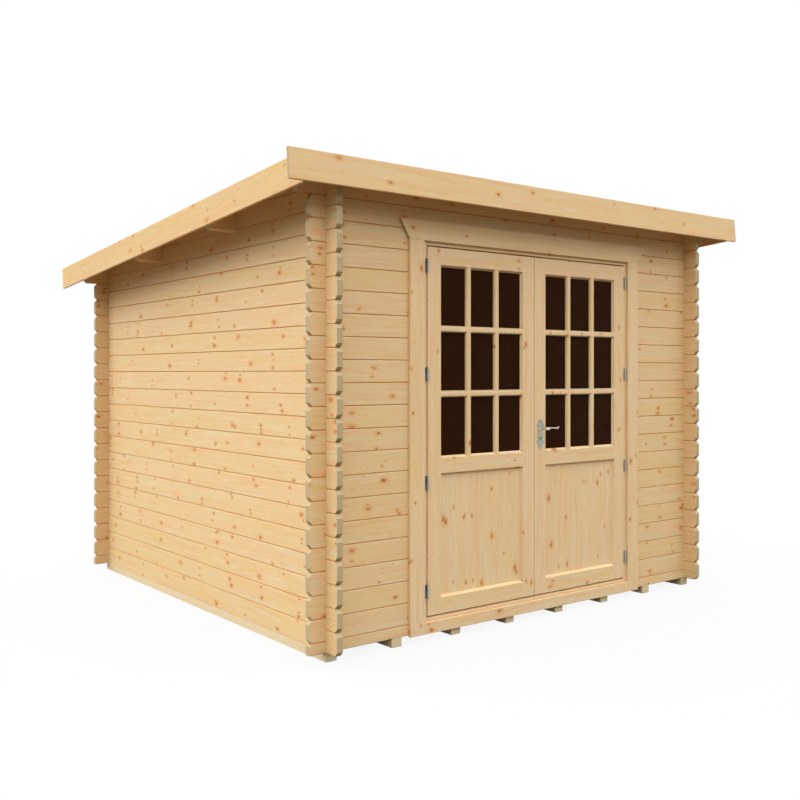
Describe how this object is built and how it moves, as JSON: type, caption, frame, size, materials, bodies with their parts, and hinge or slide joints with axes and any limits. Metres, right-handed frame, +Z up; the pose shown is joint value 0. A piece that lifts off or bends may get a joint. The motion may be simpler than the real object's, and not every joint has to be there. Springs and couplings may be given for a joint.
{
  "type": "log cabin",
  "caption": "Small timber log cabin with a pent roof that falls to the back and a glazed double door with two opening leaves and a lever handle in its high front wall.",
  "frame": {"origin": "on the ground, at the middle of the cabin's whole plan, roof included", "axes": "+X to the right along the front wall, +Y from the front to the back, +Z up"},
  "size_m": [3.418, 3.256, 2.3919],
  "materials": {
    "spruce": "planed",
    "trim_wood": "planed",
    "frame_wood": "planed",
    "door_wood": "planed",
    "panel_wood": "planed",
    "floor_wood": "planed",
    "roof_wood": "sawn",
    "treated_wood": "sawn",
    "roofing_felt": "mineral felt",
    "glass": "clear",
    "hinge_steel": "zinc plated",
    "handle_metal": "pewter"
  },
  "bodies": {
    "cabin": {"floor_joists": "treated_wood", "floor_boards": "floor_wood", "left_wall": "spruce", "right_wall": "spruce", "back_wall": "spruce", "front_wall_left": "spruce", "front_wall_right": "spruce", "front_sill_log": "spruce", "front_wall_over_door": "spruce", "front_plate_log": "spruce", "back_plate_log": "spruce", "front_purlin": "spruce", "rear_purlin": "spruce", "roof_boards": "roof_wood", "roof_felt": "roofing_felt", "front_fascia": "trim_wood", "rear_eave_board": "trim_wood", "left_barge_board": "trim_wood", "right_barge_board": "trim_wood", "left_jamb": "frame_wood", "right_jamb": "frame_wood", "head_jamb": "frame_wood", "threshold": "frame_wood", "left_casing": "trim_wood", "right_casing": "trim_wood", "head_casing": "trim_wood", "sill_board": "trim_wood", "inner_casing": "trim_wood", "left_frame_hinges": "hinge_steel", "right_frame_hinges": "hinge_steel"},
    "left_door": {"left_door_stiles": "door_wood", "left_door_rails": "door_wood", "left_door_bars": "door_wood", "left_door_glass": "glass", "left_door_panel": "panel_wood", "left_door_hinges": "hinge_steel"},
    "right_door": {"right_door_stiles": "door_wood", "right_door_rails": "door_wood", "right_door_bars": "door_wood", "right_door_glass": "glass", "right_door_panel": "panel_wood", "right_door_hinges": "hinge_steel", "lock_plates": "handle_metal"},
    "handle": {"lever_handle": "handle_metal"}
  },
  "joints": [
    {"name": "left_door_hinge", "type": "hinge", "parent": "cabin", "child": "left_door", "pos_m": [-0.79025, -1.472, 1.08], "axis": [0, 0, -1], "range_deg": [0, 160]},
    {"name": "right_door_hinge", "type": "hinge", "parent": "cabin", "child": "right_door", "pos_m": [0.77025, -1.472, 1.08], "axis": [0, 0, 1], "range_deg": [0, 160]},
    {"name": "handle_lever", "type": "hinge", "parent": "right_door", "child": "handle", "pos_m": [0.03775, -1.466, 1.068], "axis": [0, 1, 0], "range_deg": [0, 35], "stiffness_Nm_per_rad": 0.6, "springref_deg": -28.65}
  ]
}
